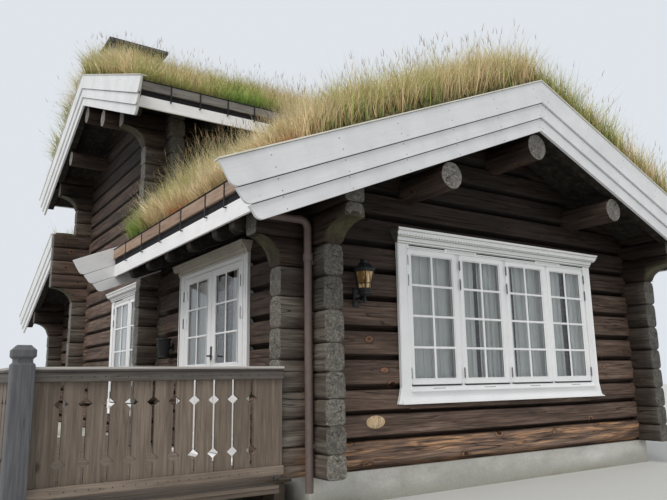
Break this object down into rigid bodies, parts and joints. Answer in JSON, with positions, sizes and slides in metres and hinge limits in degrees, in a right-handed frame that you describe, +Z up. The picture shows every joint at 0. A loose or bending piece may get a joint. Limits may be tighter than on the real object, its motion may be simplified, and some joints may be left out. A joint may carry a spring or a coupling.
{
  "type": "turf-roofed log house with a terrace",
  "caption": "Log house with a low gabled front wing, a tall cross block and a rear lean-to under turf roofs, with a side terrace and double terrace door that opens outwards.",
  "frame": {"origin": "on the ground under the middle of the front wall's thickness, below the front wing's ridge", "axes": "+X to the right seen from the front, +Y from the front wall back through the house, +Z up"},
  "size_m": [7.941, 11.441, 7.75],
  "materials": {
    "concrete": "pale cast concrete, slightly stained",
    "floor_wood": "oiled floor boards",
    "log_wood": "dark brown stained logs, weathered grey on the ends",
    "roof_wood": "dark stained roof boards and rafters",
    "turf": "sod with long dry grass",
    "barge_paint": "pale grey-white stain",
    "plank_wood": "weathered brown plank",
    "chimney_stone": "dark natural stone",
    "slate": "dark slate",
    "window_paint": "white paint, satin",
    "clear_glass": "clear window glass",
    "black_metal": "black, satin",
    "terrace_wood": "grey-brown weathered boards",
    "pipe_metal": "brown lacquer"
  },
  "bodies": {
    "house": {"foundation": "concrete", "floor": "floor_wood", "front_wall": "log_wood", "wing_left_wall_near": "log_wood", "wing_left_wall_far": "log_wood", "wing_left_wall_over_door": "log_wood", "wing_right_wall": "log_wood", "cross_wall": "log_wood", "tall_left_wall": "log_wood", "tall_right_wall": "log_wood", "tall_rear_wall": "log_wood", "leanto_side_walls": "log_wood", "leanto_rear_wall": "log_wood", "wing_purlins": "log_wood", "tall_purlins": "log_wood", "wing_roof_left": "roof_wood", "wing_roof_right": "roof_wood", "tall_roof_front": "roof_wood", "tall_roof_rear": "roof_wood", "leanto_roof": "roof_wood", "wing_turf": "turf", "tall_turf": "turf", "leanto_turf": "turf", "wing_barge_boards": "barge_paint", "tall_barge_boards": "barge_paint", "leanto_barge_boards": "barge_paint", "eave_boards": "barge_paint", "turf_planks": "plank_wood", "chimney_stack": "chimney_stone", "chimney_cap": "slate", "front_window": "window_paint", "side_windows": "window_paint", "window_glass": "clear_glass", "door_frame": "window_paint", "deck_floor": "terrace_wood", "deck_front_railing": "terrace_wood", "deck_side_railing": "terrace_wood", "deck_corner_post": "terrace_wood", "wall_lantern": "black_metal", "wall_lamp": "black_metal", "downpipe": "pipe_metal"},
    "near_leaf": {"door_leaf_near": "window_paint", "door_glass_near": "clear_glass", "door_handle": "black_metal"},
    "far_leaf": {"door_leaf_far": "window_paint", "door_glass_far": "clear_glass"}
  },
  "joints": [
    {"name": "near_leaf_hinge", "type": "hinge", "parent": "house", "child": "near_leaf", "pos_m": [-2.378, 1.036, 0.45], "axis": [0, 0, 1], "range_deg": [0, 100]},
    {"name": "far_leaf_hinge", "type": "hinge", "parent": "house", "child": "far_leaf", "pos_m": [-2.378, 2.542, 0.45], "axis": [0, 0, -1], "range_deg": [0, 100]}
  ]
}
